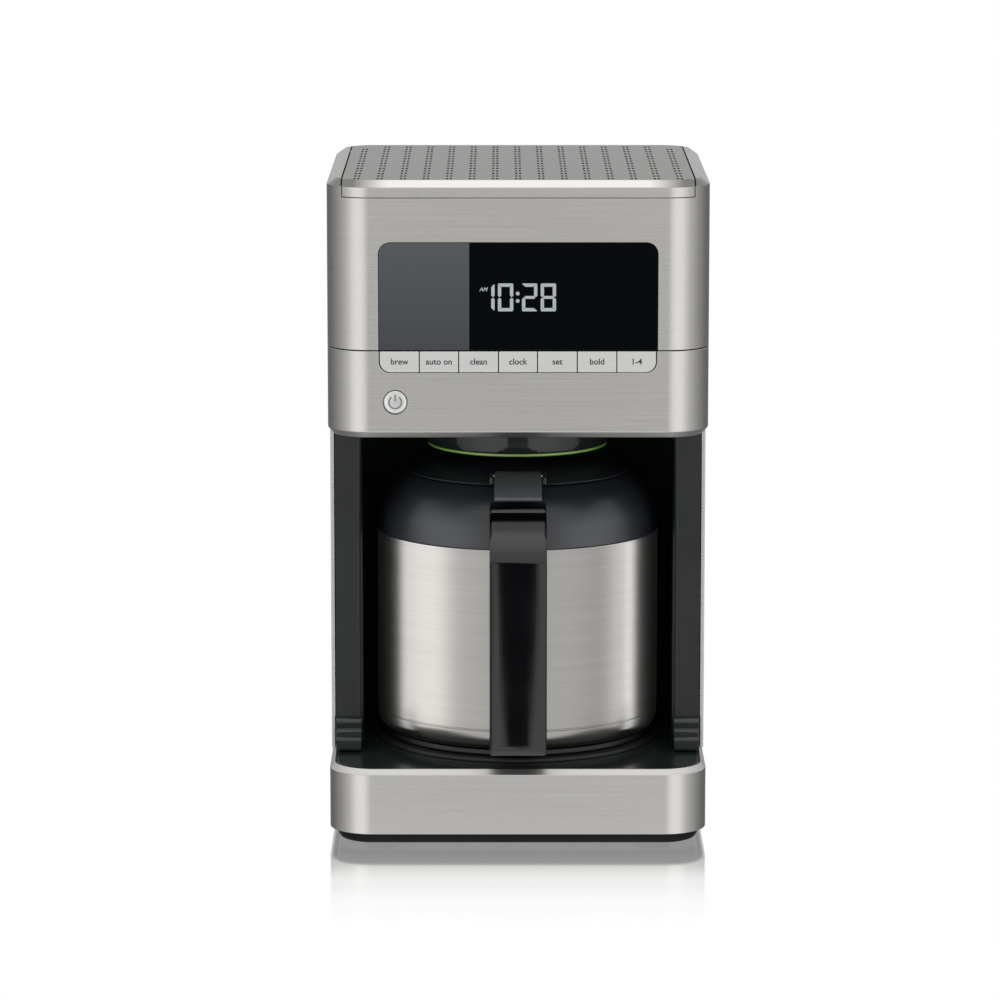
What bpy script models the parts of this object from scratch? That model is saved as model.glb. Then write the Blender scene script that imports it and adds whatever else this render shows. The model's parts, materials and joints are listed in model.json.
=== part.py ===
"""Drip coffee maker with a thermal carafe, as separate pieces.

The lengths below are in millimetres and become metres when a mesh is made. +Z is up, the front faces
-Y, and the origin is on the ground in the middle of the machine with its carafe in place.
"""

from math import cos, pi, radians, sin

import bmesh
import bpy
from mathutils import Matrix, Vector

MM = 0.001

# Body: one rounded rectangle in plan, from the plinth to the lid.
HALF_WIDTH = 100.0
FRONT_Y = -90.0
BACK_Y = 110.0
CORNER_RADIUS = 22.5
CORNER_STEPS = 8
GAP = 0.3
WALL = 2.0

# Heights of the body's levels.
FOOT_TOP = 1.7
PLINTH_BOTTOM = 2.0
PLINTH_TOP = 8.0
BAND_BEVEL_Z = 40.4
BAND_TOP = 43.4
DECK_TOP = 43.2
REST_TOP = 45.3
TOWER_BOTTOM = 43.7
TOWER_TOP = 220.2
HOUSING_BOTTOM = 220.5
HOUSING_BEVEL_Z = 223.9
SEAM_Z = 266.7
TOP_BEVEL_Z = 351.9
TOP_Z = 355.3
TOP_BEVEL = 4.7

# Middles of the feet in plan.
FOOT_X = 72.0
FOOT_FRONT_Y = -66.0
FOOT_REAR_Y = 86.0

# Tower: front faces of the pillars, and the niche that the carafe stands in.
PILLAR_FRONT_Y = -38.0
PILLAR_INNER_X = 83.0
NICHE_X = 84.0
NICHE_BACK_Y = 86.0
NICHE_CORNER = 45.0
NICHE_WALL = 2.5
PILLAR_BACK_Y = 20.0
PILLAR_NOSE_RADIUS = 3.0

# Side view of the stepped foot at the bottom of each pillar, as (y, z), and its two ends across.
PILLAR_FOOT = (
    (-36, 43.7),
    (-48, 43.7),
    (-48, 49.4),
    (-47.2, 51.0),
    (-45.4, 51.8),
    (-41.8, 53.6),
    (-41.8, 57.8),
    (-40.8, 59.6),
    (-38.6, 61.0),
    (-36, 61.2),
)
PILLAR_FOOT_ENDS = (84.0, 97.4)

# Water tubes behind the niche, and the cord's gland in the base.
TUBE_Y = 98.0
TUBE_BORE = 3.5
TUBE_RADIUS = 5.0
HOSE_X = 40.0
GLAND_CENTRE = (60.0, 22.0)

# Lid and its hinge.
LID_HALF_WIDTH = 91.5
LID_BACK_Y = 102.0
LID_SKIRT_Z = 346.5
LID_GAP = 0.7
LID_FRONT_GAP = 0.3
LID_CORNER = 8.0
LID_TOP_THICKNESS = 2.2
LID_HOLLOW_BACK_Y = 84.0
HINGE_Y = 90.0
HINGE_Z = 352.3
PIN_RADIUS = 1.2
PIN_BORE_RADIUS = 1.5
PIN_START_X = 83.0
PIN_END_X = 94.0

# Display window, keys and power button on the front.
WINDOW_LEFT = -72.5
WINDOW_RIGHT = 72.4
WINDOW_TOP = 323.1
WINDOW_RADIUS = 6.0
WINDOW_RECESS = 0.2
KEY_EDGES = (-72.3, -51.5, -31.0, -10.3, 10.0, 30.7, 51.3, 71.9)
KEY_NAMES = ("brew", "auto_on", "clean", "clock", "set", "bold", "small_batch")
KEY_BOTTOM = 255.3
KEY_TOP = 266.3
KEY_RADIUS = 5.6
KEY_GAP = 0.5
KEY_THICKNESS = 2.5
BUTTON_X = -64.1
BUTTON_Z = 239.6
BUTTON_RADIUS = 6.1
BUTTON_HOLE_RADIUS = 6.6

# Brewing column and carafe share one axis.
BREW_Y = 4.0
BASKET_BORE = 68.0
CARAFE_STEPS = 40
TANK_WALL = 2.0
TANK_BOTTOM = 228.0
TANK_TOP = 329.5
HEAD_BOTTOM = 330.0
HEAD_TOP = 337.0
HANDLE_HALF_WIDTH = 15.0
LEVER_HALF_WIDTH = 12.5
LEVER_AXIS_Y = -52.0
LEVER_AXIS_Z = 194.2


def clear_scene():
    for old in list(bpy.data.objects):
        bpy.data.objects.remove(old, do_unlink=True)


def new_collection(name):
    collection = bpy.data.collections.new(name)
    bpy.context.scene.collection.children.link(collection)
    return collection


def new_material(name, colour, roughness, metallic=0.0, transmission=0.0):
    material = bpy.data.materials.new(name)
    material.use_nodes = True
    shader = material.node_tree.nodes["Principled BSDF"]
    shader.inputs["Base Color"].default_value = (*colour, 1.0)
    shader.inputs["Roughness"].default_value = roughness
    shader.inputs["Metallic"].default_value = metallic
    shader.inputs["Transmission Weight"].default_value = transmission
    material.diffuse_color = (*colour, 1.0)
    return material


def add_piece(name, mesh, look):
    piece = bpy.data.objects.new(name, mesh)
    MODEL.objects.link(piece)
    if look:
        mesh.materials.append(bpy.data.materials[look])
    return piece


def add_built(name, builder, look):
    """Turns a filled bmesh into an object of the model's collection."""
    bmesh.ops.recalc_face_normals(builder, faces=builder.faces)
    mesh = bpy.data.meshes.new(name)
    builder.to_mesh(mesh)
    builder.free()
    return add_piece(name, mesh, look)


def as_cutter(piece):
    """Moves a helper out of the model, so that only Booleans see it."""
    MODEL.objects.unlink(piece)
    CUTTERS.objects.link(piece)
    piece.hide_render = True
    piece.display_type = "WIRE"
    return piece


def combine(piece, other, operation):
    modifier = piece.modifiers.new(operation.title(), "BOOLEAN")
    modifier.operation = operation
    modifier.solver = "EXACT"
    modifier.object = as_cutter(other)


def cut(piece, other):
    combine(piece, other, "DIFFERENCE")


def join(piece, other):
    combine(piece, other, "UNION")


def keep_common(piece, other):
    combine(piece, other, "INTERSECT")


def soften(piece, width, segments=2):
    """Rounds only the square edges."""
    modifier = piece.modifiers.new("Soften", "BEVEL")
    modifier.width = width * MM
    modifier.segments = segments
    modifier.limit_method = "ANGLE"
    modifier.angle_limit = radians(60)


def move_origin(piece, point):
    """Puts the origin of a moving piece on its joint without moving the piece."""
    place = Vector(point) * MM
    shift = place - piece.location
    for vertex in piece.data.vertices:
        vertex.co -= shift
    piece.location = place


def arc(centre, radius, start, end, steps):
    """Points of an arc, in degrees anticlockwise from the first axis."""
    angles = [radians(start + (end - start) * step / steps) for step in range(steps + 1)]
    return [(centre[0] + radius * cos(a), centre[1] + radius * sin(a)) for a in angles]


def rounded_rectangle(low, high, radii, steps=CORNER_STEPS):
    """Outline with its own radius at the corners ++, -+, -- and +-; a radius of 0 is a square corner."""
    places = (
        (high[0], high[1], -1, -1),
        (low[0], high[1], 1, -1),
        (low[0], low[1], 1, 1),
        (high[0], low[1], -1, 1),
    )
    outline = []
    for quarter, ((x, y, step_x, step_y), radius) in enumerate(zip(places, radii)):
        if not radius:
            outline.append((x, y))
            continue
        centre = (x + step_x * radius, y + step_y * radius)
        outline += arc(centre, radius, 90 * quarter, 90 * quarter + 90, steps)
    return outline


def body_outline(inset):
    radius = CORNER_RADIUS - inset
    low = (-HALF_WIDTH + inset, FRONT_Y + inset)
    high = (HALF_WIDTH - inset, BACK_Y - inset)
    return rounded_rectangle(low, high, (radius,) * 4)


def prism(name, outline, start, end, axis="Z", look=None):
    """Extrudes an outline. It lies in XY, in XZ or in YZ, square to the axis."""
    place = {
        "X": lambda a, b: (start, a, b),
        "Y": lambda a, b: (a, start, b),
        "Z": lambda a, b: (a, b, start),
    }[axis]
    builder = bmesh.new()
    rim = [builder.verts.new(Vector(place(a, b)) * MM) for a, b in outline]
    face = builder.faces.new(rim)
    top = bmesh.ops.extrude_face_region(builder, geom=[face])["geom"]
    moved = [item for item in top if isinstance(item, bmesh.types.BMVert)]
    step = Vector([(end - start) * MM if letter == axis else 0.0 for letter in "XYZ"])
    bmesh.ops.translate(builder, vec=step, verts=moved)
    return add_built(name, builder, look)


def box(name, low, high, look=None):
    builder = bmesh.new()
    size = (Vector(high) - Vector(low)) * MM
    middle = (Vector(high) + Vector(low)) / 2 * MM
    bmesh.ops.create_cube(builder, size=1, matrix=Matrix.LocRotScale(middle, None, size))
    return add_built(name, builder, look)


def rod(name, axis, centre, radius, start, end, look=None, steps=24):
    """A cylinder along an axis. The centre is given in the two other directions."""
    middle = (start + end) / 2
    a, b = centre
    place, turn = {
        "X": ((middle, a, b), Matrix.Rotation(pi / 2, 4, "Y")),
        "Y": ((a, middle, b), Matrix.Rotation(pi / 2, 4, "X")),
        "Z": ((a, b, middle), Matrix.Identity(4)),
    }[axis]
    builder = bmesh.new()
    bmesh.ops.create_cone(
        builder,
        cap_ends=True,
        segments=steps,
        radius1=radius * MM,
        radius2=radius * MM,
        depth=abs(end - start) * MM,
        matrix=Matrix.Translation(Vector(place) * MM) @ turn,
    )
    return add_built(name, builder, look)


def turned(name, profile, look=None, centre=(0.0, BREW_Y), steps=CARAFE_STEPS):
    """Turns a profile of (radius, height) round a vertical axis. Its outer side runs upwards."""
    mesh = bpy.data.meshes.new(name)
    points = [(radius * MM, 0.0, z * MM) for radius, z in reversed(profile)]
    edges = [(i, i + 1) for i in range(len(points) - 1)]
    if profile[0][0] and profile[-1][0]:
        edges.append((len(points) - 1, 0))
    mesh.from_pydata(points, edges, [])
    piece = add_piece(name, mesh, look)
    piece.location = Vector((*centre, 0.0)) * MM
    screw = piece.modifiers.new("Turn", "SCREW")
    screw.steps = steps
    screw.render_steps = steps
    screw.use_merge_vertices = True
    screw.merge_threshold = 1e-6
    screw.use_smooth_shade = True
    return piece


def thin_wall(name, path, thickness, look):
    """Stands a line in plan up as the tower's wall. The thickness goes on the left of the line's way."""
    builder = bmesh.new()
    line = [builder.verts.new(Vector((x, y, TOWER_BOTTOM)) * MM) for x, y in path]
    edges = [builder.edges.new(pair) for pair in zip(line, line[1:])]
    risen = bmesh.ops.extrude_edge_only(builder, edges=edges)["geom"]
    moved = [item for item in risen if isinstance(item, bmesh.types.BMVert)]
    bmesh.ops.translate(builder, vec=Vector((0, 0, TOWER_TOP - TOWER_BOTTOM)) * MM, verts=moved)
    mesh = bpy.data.meshes.new(name)
    builder.to_mesh(mesh)
    builder.free()
    piece = add_piece(name, mesh, look)
    solidify = piece.modifiers.new("Thickness", "SOLIDIFY")
    solidify.thickness = thickness * MM
    solidify.offset = 1.0
    solidify.use_even_offset = True
    return piece


def body_sweep(name, profile, look=None, ring=False):
    """Joins body outlines, each at an (inset, height). A ring closes on itself; other sweeps get caps."""
    builder = bmesh.new()
    loops = []
    for inset, z in profile:
        loops.append([builder.verts.new(Vector((x, y, z)) * MM) for x, y in body_outline(inset)])
    pairs = list(zip(loops, loops[1:]))
    if ring:
        pairs.append((loops[-1], loops[0]))
    else:
        builder.faces.new(loops[0])
        builder.faces.new(loops[-1])
    for lower, upper in pairs:
        for i in range(len(lower)):
            builder.faces.new((lower[i - 1], lower[i], upper[i], upper[i - 1]))
    return add_built(name, builder, look)


def make_materials():
    new_material("brushed_steel", (0.62, 0.61, 0.59), 0.32, 1.0)
    new_material("steel_key", (0.66, 0.66, 0.64), 0.35, 0.9)
    new_material("polished_steel", (0.75, 0.75, 0.74), 0.12, 1.0)
    new_material("gloss_black", (0.012, 0.015, 0.016), 0.12)
    new_material("matte_black", (0.02, 0.021, 0.023), 0.5)
    new_material("shoulder_black", (0.022, 0.024, 0.028), 0.34)
    new_material("lever_grey", (0.055, 0.06, 0.06), 0.55)
    new_material("window_black", (0.004, 0.005, 0.006), 0.06)
    new_material("ring_green", (0.26, 0.5, 0.08), 0.4)
    new_material("rubber", (0.03, 0.03, 0.03), 0.8)
    new_material("tank_clear", (0.75, 0.8, 0.82), 0.15, 0.0, 0.6)
    new_material("silicone", (0.72, 0.72, 0.7), 0.5)
    new_material("board_green", (0.03, 0.16, 0.07), 0.5)
    new_material("aluminium", (0.72, 0.73, 0.74), 0.4, 1.0)
    new_material("white_plastic", (0.7, 0.7, 0.68), 0.45)


def make_feet():
    profile = ((0, 0), (7.5, 0), (9, 0.8), (9, FOOT_TOP), (0, FOOT_TOP))
    for end, y in (("front", FOOT_FRONT_Y), ("rear", FOOT_REAR_Y)):
        turned(f"foot_{end}_left", profile, "rubber", (-FOOT_X, y), 24)
        turned(f"foot_{end}_right", profile, "rubber", (FOOT_X, y), 24)


def make_base():
    plinth = ((8, PLINTH_BOTTOM), (5.2, 3.2), (4, 5.5), (4, PLINTH_TOP), (6.5, PLINTH_TOP), (6.5, 4.5))
    body_sweep("base_plinth", plinth, "matte_black")
    band_bottom = PLINTH_TOP + GAP
    band = (
        (0, band_bottom),
        (0, BAND_BEVEL_Z),
        (2.2, BAND_TOP),
        (3.6, BAND_TOP),
        (3.6, BAND_TOP - 1),
        (1.5, BAND_BEVEL_Z - 0.8),
        (1.5, band_bottom),
    )
    piece = body_sweep("base_band", band, "brushed_steel", ring=True)
    cut(piece, rod("gland_hole", "Y", GLAND_CENTRE, 6.8, BACK_Y - 10, BACK_Y + 10))
    deck = prism("deck", body_outline(3.9), DECK_TOP - 2.4, DECK_TOP, "Z", "gloss_black")
    cut(deck, box("tube_slot", (-52, 90, 30), (52, 104, 60)))
    rest = (
        (0, DECK_TOP + GAP),
        (77, DECK_TOP + GAP),
        (77, 44.6),
        (76.2, REST_TOP),
        (70, REST_TOP),
        (69, 44.6),
        (0, 44.6),
    )
    turned("carafe_rest", rest, "matte_black")


def niche_path():
    """Inner line of the niche in plan, from the left pillar round to the right one."""
    centre_x = NICHE_X - NICHE_CORNER
    centre_y = NICHE_BACK_Y - NICHE_CORNER
    left = arc((-centre_x, centre_y), NICHE_CORNER, 180, 90, CORNER_STEPS)
    right = arc((centre_x, centre_y), NICHE_CORNER, 90, 0, CORNER_STEPS)
    return [(-NICHE_X, PILLAR_BACK_Y + GAP), *left, *right, (NICHE_X, PILLAR_BACK_Y + GAP)]


def make_tower():
    wrap = [
        (-HALF_WIDTH, PILLAR_FRONT_Y),
        *arc((-HALF_WIDTH + CORNER_RADIUS, BACK_Y - CORNER_RADIUS), CORNER_RADIUS, 180, 90, CORNER_STEPS),
        *arc((HALF_WIDTH - CORNER_RADIUS, BACK_Y - CORNER_RADIUS), CORNER_RADIUS, 90, 0, CORNER_STEPS),
        (HALF_WIDTH, PILLAR_FRONT_Y),
    ]
    thin_wall("tower_wrap", wrap[::-1], WALL, "brushed_steel")
    thin_wall("niche_wall", niche_path(), NICHE_WALL, "gloss_black")
    outer_x = HALF_WIDTH - WALL - GAP
    for name, side in (("pillar_left", -1), ("pillar_right", 1)):
        nose_centre = (PILLAR_INNER_X + PILLAR_NOSE_RADIUS, PILLAR_FRONT_Y + PILLAR_NOSE_RADIUS)
        nose = arc(nose_centre, PILLAR_NOSE_RADIUS, 270, 180, 4)
        path = [(outer_x, PILLAR_FRONT_Y), *nose, (NICHE_X, PILLAR_BACK_Y)]
        path = [(side * x, y) for x, y in path][::-side]
        pillar = thin_wall(name, path, NICHE_WALL, "gloss_black")
        start, end = PILLAR_FOOT_ENDS
        join(pillar, prism(f"foot_of_{name}", PILLAR_FOOT, side * start, side * end, "X"))


def make_lower_housing():
    shell = (
        (3.0, HOUSING_BOTTOM),
        (0, HOUSING_BEVEL_Z),
        (0, SEAM_Z - GAP),
        (WALL, SEAM_Z - GAP),
        (WALL, 225.0),
        (4.0, 223.1),
        (5.5, 223.1),
        (5.5, HOUSING_BOTTOM),
    )
    housing = body_sweep("lower_housing", shell, "brushed_steel", ring=True)
    notch = rounded_rectangle((-72.6, 255.0), (72.2, 280.0), (0, 0, 5.9, 5.9), 6)
    cut(housing, prism("key_notch", notch, FRONT_Y - 5, FRONT_Y + 8, "Y"))
    centre = (BUTTON_X, BUTTON_Z)
    cut(housing, rod("button_hole", "Y", centre, BUTTON_HOLE_RADIUS, FRONT_Y - 5, FRONT_Y + 8))
    floor = prism("housing_floor", body_outline(5.8), HOUSING_BOTTOM + GAP, 222.8, "Z", "matte_black")
    cut(floor, turned("basket_hole", ((0, 215), (59, 215), (59, 230), (0, 230))))
    for number, x in enumerate((0.0, HOSE_X)):
        cut(floor, rod(f"tube_hole_{number}", "Z", (x, TUBE_Y), TUBE_RADIUS + 0.6, 215, 230))


def lid_plan(grow, front_y=FRONT_Y - 20):
    """Outline of the lid in plan, by default running past the front, grown for the gap of its opening."""
    low = (-LID_HALF_WIDTH - grow, front_y)
    high = (LID_HALF_WIDTH + grow, LID_BACK_Y + grow)
    return rounded_rectangle(low, high, (LID_CORNER + grow, LID_CORNER + grow, 0, 0), 4)


def pin_bore(name, side):
    start = side * (PIN_START_X - 1)
    return rod(name, "X", (HINGE_Y, HINGE_Z), PIN_BORE_RADIUS, start, side * (PIN_END_X + GAP), steps=12)


def make_upper_housing():
    shell = (
        (0, SEAM_Z + GAP),
        (0, TOP_BEVEL_Z),
        (TOP_BEVEL, TOP_Z),
        (8.5, TOP_Z),
        (8.5, 347.5),
        (WALL, 347.5),
        (WALL, SEAM_Z + GAP),
    )
    housing = body_sweep("upper_housing", shell, "brushed_steel", ring=True)
    opening = lid_plan(LID_GAP, FRONT_Y + TOP_BEVEL + 1)
    cut(housing, prism("lid_opening", opening, LID_SKIRT_Z - GAP, TOP_Z + 10, "Z"))
    cut(housing, prism("lid_front", lid_plan(LID_FRONT_GAP), LID_SKIRT_Z - GAP, TOP_Z + 10, "Z"))
    radius = WINDOW_RADIUS + GAP
    low = (WINDOW_LEFT - GAP, SEAM_Z - 10)
    high = (WINDOW_RIGHT + GAP, WINDOW_TOP + GAP)
    window = rounded_rectangle(low, high, (radius, radius, 0, 0), 6)
    cut(housing, prism("window_hole", window, FRONT_Y - 5, FRONT_Y + 8, "Y"))
    for name, side in (("left", -1), ("right", 1)):
        cut(housing, pin_bore(f"housing_bore_{name}", side))
        ends = (side * PIN_START_X, side * PIN_END_X)
        rod(f"hinge_pin_{name}", "X", (HINGE_Y, HINGE_Z), PIN_RADIUS, *ends, "polished_steel", 12)


def make_lid():
    """A lid that is open underneath, with a solid block at its rear edge for the hinge pins."""
    lid = body_sweep("lid", ((0, LID_SKIRT_Z), (0, TOP_BEVEL_Z), (TOP_BEVEL, TOP_Z)), "brushed_steel")
    keep_common(lid, prism("lid_limit", lid_plan(0), LID_SKIRT_Z - 10, TOP_Z + 10, "Z"))
    hollow_x = LID_HALF_WIDTH - 2.2
    hollow_y = FRONT_Y + 3
    radii = (5, 5, CORNER_RADIUS - 3, CORNER_RADIUS - 3)
    hollow = rounded_rectangle((-hollow_x, hollow_y), (hollow_x, LID_HOLLOW_BACK_Y), radii, 6)
    cut(lid, prism("lid_hollow", hollow, LID_SKIRT_Z - 10, TOP_Z - LID_TOP_THICKNESS, "Z"))
    for name, side in (("left", -1), ("right", 1)):
        cut(lid, pin_bore(f"lid_bore_{name}", side))
    move_origin(lid, (0, HINGE_Y, HINGE_Z))


def make_display():
    radii = (WINDOW_RADIUS, WINDOW_RADIUS, 0, 0)
    window = rounded_rectangle((WINDOW_LEFT, SEAM_Z + 0.2), (WINDOW_RIGHT, WINDOW_TOP), radii, 6)
    prism("display_window", window, FRONT_Y + WINDOW_RECESS, FRONT_Y + 2.4, "Y", "window_black")
    box("display_module", (-24, -87.2, 271), (70, -81.5, 319), "matte_black")
    box("control_board", (-76, -79.6, 230), (76, -78.0, 322), "board_green")


def key_outline(number):
    left = KEY_EDGES[number] + KEY_GAP / 2
    right = KEY_EDGES[number + 1] - KEY_GAP / 2
    left_radius = KEY_RADIUS if number == 0 else 0
    right_radius = KEY_RADIUS if number == len(KEY_NAMES) - 1 else 0
    return rounded_rectangle((left, KEY_BOTTOM), (right, KEY_TOP), (0, 0, left_radius, right_radius), 5)


def key_stem(name, x, z, half):
    """Square stem behind a key, which presses its switch on the control board."""
    return box(name, (x - half, -87.6, z - half), (x + half, -81.6, z + half))


def make_keys():
    guide = box("key_guide", (-74, -86.0, 256.5), (74, -84.0, 265.5), "matte_black")
    for number, name in enumerate(KEY_NAMES):
        middle = (KEY_EDGES[number] + KEY_EDGES[number + 1]) / 2
        centre = (KEY_BOTTOM + KEY_TOP) / 2
        key = prism(f"key_{name}", key_outline(number), FRONT_Y, FRONT_Y + KEY_THICKNESS, "Y", "steel_key")
        join(key, key_stem(f"stem_{name}", middle, centre, 1.5))
        cut(guide, key_stem(f"stem_hole_{name}", middle, centre, 1.9))
        move_origin(key, (middle, FRONT_Y, centre))


def make_power_button():
    centre = (BUTTON_X, BUTTON_Z)
    button = rod("power_button", "Y", centre, BUTTON_RADIUS, -90.4, -87.2, "polished_steel", 32)
    join(button, rod("button_flange", "Y", centre, BUTTON_RADIUS + 1.5, -87.6, -86.4, steps=32))
    join(button, rod("button_stem", "Y", centre, 2, -86.6, -84.3, steps=12))
    move_origin(button, (BUTTON_X, FRONT_Y, BUTTON_Z))
    low = (BUTTON_X - 6, -83.0, BUTTON_Z - 6)
    high = (BUTTON_X + 6, -79.9, BUTTON_Z + 6)
    box("power_switch", low, high, "matte_black")


def tank_block(name, inset, bottom, top, look=None):
    """Block of the water tank, set in all round: a U in plan round the basket, grooved for the riser."""
    outline = rounded_rectangle((-95 + inset, -50 + inset), (95 - inset, 105 - inset), (17, 17, 8, 8), 5)
    block = prism(name, outline, bottom, top, "Z", look)
    bore = BASKET_BORE + inset
    cut(block, turned(f"{name}_bore", ((0, 200), (bore, 200), (bore, 400), (0, 400)), steps=40))
    cut(block, rod(f"{name}_groove", "Z", (0, 101), 8.5 + inset, 200, 400, steps=24))
    return block


def make_tank():
    tank = tank_block("water_tank", 0, TANK_BOTTOM, TANK_TOP, "tank_clear")
    cut(tank, tank_block("tank_hollow", TANK_WALL, TANK_BOTTOM + TANK_WALL, TANK_TOP + 10))
    cut(tank, rod("tank_outlet", "Z", (HOSE_X, 96), 3, 220, 240, steps=16))
    for name, x, top in (("inlet_hose", HOSE_X, TANK_BOTTOM - GAP), ("riser_tube", 0.0, HEAD_BOTTOM - GAP)):
        profile = ((TUBE_BORE, 37), (TUBE_RADIUS, 37), (TUBE_RADIUS, top), (TUBE_BORE, top))
        turned(name, profile, "silicone", (x, TUBE_Y), 16)
    profile = ((0, HEAD_BOTTOM), (28, HEAD_BOTTOM), (28, 333), (22, HEAD_TOP), (0, HEAD_TOP))
    head = turned("shower_head", profile, "matte_black", steps=32)
    join(head, box("shower_arm", (-6, 10, HEAD_BOTTOM), (6, 105, HEAD_TOP - 1)))
    for angle in range(0, 360, 60):
        x = 16 * cos(radians(angle))
        y = BREW_Y + 16 * sin(radians(angle))
        cut(head, rod(f"shower_hole_{angle}", "Z", (x, y), 1.6, HEAD_BOTTOM - 10, HEAD_TOP + 8, steps=8))


def make_basket():
    basket = (
        (8, 202.9),
        (46.4, 202.9),
        (46.4, 205.1),
        (49.2, 205.1),
        (50.4, 209),
        (52, 218),
        (56.3, 226),
        (62, 322),
        (66.5, 322),
        (66.5, 324.5),
        (60.2, 324.5),
        (54.5, 226.5),
        (50.3, 219),
        (48.3, 211),
        (44, 206.5),
        (8, 205.4),
    )
    turned("filter_basket", basket, "gloss_black")
    turned("basket_ring", ((46.7, 203.4), (48.4, 203.4), (48.4, 204.8), (46.7, 204.8)), "ring_green")
    valve = ((0, 198.6), (5, 198.6), (6.2, 200), (6.2, 206.4), (11, 206.4), (11, 209), (0, 209))
    turned("drip_valve", valve, "matte_black", steps=24)
    profile = ((13, 206.9), (14.6, 206.9), (14.6, 226), (0, 226), (0, 224), (13, 224))
    cage = turned("valve_cage", profile, "matte_black", steps=24)
    cut(cage, box("cage_slot_x", (-20, BREW_Y - 4, 209), (20, BREW_Y + 4, 219)))
    cut(cage, box("cage_slot_y", (-4, BREW_Y - 20, 209), (4, BREW_Y + 20, 219)))
    make_spring("valve_spring", 8.0, 0.55, 210.0, 223.0, 4)


def make_spring(name, radius, wire, bottom, top, turns):
    steps = 14 * turns
    line = bpy.data.curves.new(name, "CURVE")
    line.dimensions = "3D"
    line.bevel_depth = wire * MM
    line.bevel_resolution = 1
    line.use_fill_caps = True
    spline = line.splines.new("POLY")
    spline.points.add(steps)
    for step, point in enumerate(spline.points):
        angle = 2 * pi * turns * step / steps
        x = radius * cos(angle)
        y = BREW_Y + radius * sin(angle)
        z = bottom + (top - bottom) * step / steps
        point.co = (x * MM, y * MM, z * MM, 1.0)
    coil = bpy.data.objects.new(name, line)
    MODEL.objects.link(coil)
    line.materials.append(bpy.data.materials["polished_steel"])


def make_base_internals():
    centre_y = 30
    inner = arc((0, centre_y), 30, 180, 360, 12)
    outer = arc((0, centre_y), 48, 360, 180, 12)
    outline = [*inner, (30, 92), (48, 92), *outer, (-48, 92), (-30, 92)]
    boiler = prism("boiler", outline, 16, 34, "Z", "aluminium")
    soften(boiler, 4)
    box("thermostat", (-8, -22, 34.5), (8, -10, 38.5), "white_plastic")
    box("power_board", (-86, 20, 12), (-56, 84, 13.6), "board_green")
    gland = rod("cord_gland", "Y", GLAND_CENTRE, 6.4, 98, BACK_Y, "rubber", 24)
    join(gland, rod("gland_flange", "Y", GLAND_CENTRE, 9, 99, BACK_Y - WALL, steps=24))


def carafe_body():
    """Outside of the carafe's steel body, from the bottom up."""
    return ((70, 49.0), (73.5, 51), (75.6, 54.5), (76, 57.5), (76, 157.5))


def carafe_shoulder():
    """Outside of the carafe's plastic shoulder, from the bottom up."""
    return ((76, 157.8), (75.4, 167), (72.9, 175), (68.4, 183), (62, 188.4))


def make_carafe():
    turned("carafe_base", ((58, 45.6), (71, 45.6), (72, 46.4), (71.2, 48.6), (58, 48.6)), "matte_black")
    shell_inside = ((75, 157.5), (75, 57.5), (72.5, 52), (69.7, 50), (69.7, 49))
    turned("carafe_shell", (*carafe_body(), *shell_inside), "brushed_steel")
    rod("carafe_shell_floor", "Z", (0, BREW_Y), 69.4, 49, 50, "brushed_steel", CARAFE_STEPS)
    make_liner()
    collar_inside = ((57, 189.3), (55, 189.3), (55, 181), (61.8, 175), (69, 167), (73, 157.8))
    turned("carafe_collar", (*carafe_shoulder(), *collar_inside), "shoulder_black")


def make_liner():
    """Inner wall of the carafe, welded together from a floor, a wall and a neck."""
    rod("carafe_liner_floor", "Z", (0, BREW_Y), 70.2, 54, 55.2, "brushed_steel", CARAFE_STEPS)
    turned("carafe_liner_wall", ((72, 54), (72, 151.7), (70.8, 151.7), (70.8, 54)), "brushed_steel")
    neck_outside = ((72, 152), (68, 163), (61, 173), (54.5, 179), (54.5, 187.5))
    neck_inside = ((53.3, 187.5), (53.3, 178.4), (60, 172.2), (67, 162.4), (70.8, 152))
    turned("carafe_liner_neck", (*neck_outside, *neck_inside), "brushed_steel")


def make_carafe_lid():
    profile = (
        (9, 182),
        (49, 182),
        (49, 189.8),
        (61.3, 189.8),
        (60.6, 190.9),
        (56, 192.2),
        (48, 195),
        (38, 196.8),
        (25, 197.4),
        (9, 196.6),
    )
    lid = turned("carafe_lid", profile, "shoulder_black")
    for name, side in (("left", -1), ("right", 1)):
        ear_side = [(-57, 190.5), (-46, 192), (-46, 195.4), (-49, 196.2), (-54.5, 196.2), (-57, 194)]
        join(lid, prism(f"lever_ear_{name}", ear_side, side * 12.9, side * 15, "X"))
    cut(lid, rod("ear_bore", "X", (LEVER_AXIS_Y, LEVER_AXIS_Z), 1.2, -14, 14, steps=12))
    move_origin(lid, (0, BREW_Y, 190))
    seal = ((49.3, 183.5), (52.4, 183.5), (52.9, 184.5), (52.4, 185.5), (49.3, 185.5))
    turned("lid_seal", seal, "silicone")
    lever_side = [
        (-48, 193.9),
        (-52, 192.7),
        (-62, 190.6),
        (-78, 186.2),
        (-81, 185.4),
        (-81.6, 187.2),
        (-79, 188.6),
        (-62, 194.4),
        (-54, 196.2),
        (-49, 196.4),
    ]
    lever = prism("thumb_lever", lever_side, -LEVER_HALF_WIDTH, LEVER_HALF_WIDTH, "X", "lever_grey")
    cut(lever, rod("lever_bore", "X", (LEVER_AXIS_Y, LEVER_AXIS_Z), 1.2, -20, 20, steps=12))
    move_origin(lever, (0, LEVER_AXIS_Y, LEVER_AXIS_Z))
    rod("lever_pin", "X", (LEVER_AXIS_Y, LEVER_AXIS_Z), 0.9, -13.7, 13.7, "polished_steel", 12)


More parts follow.
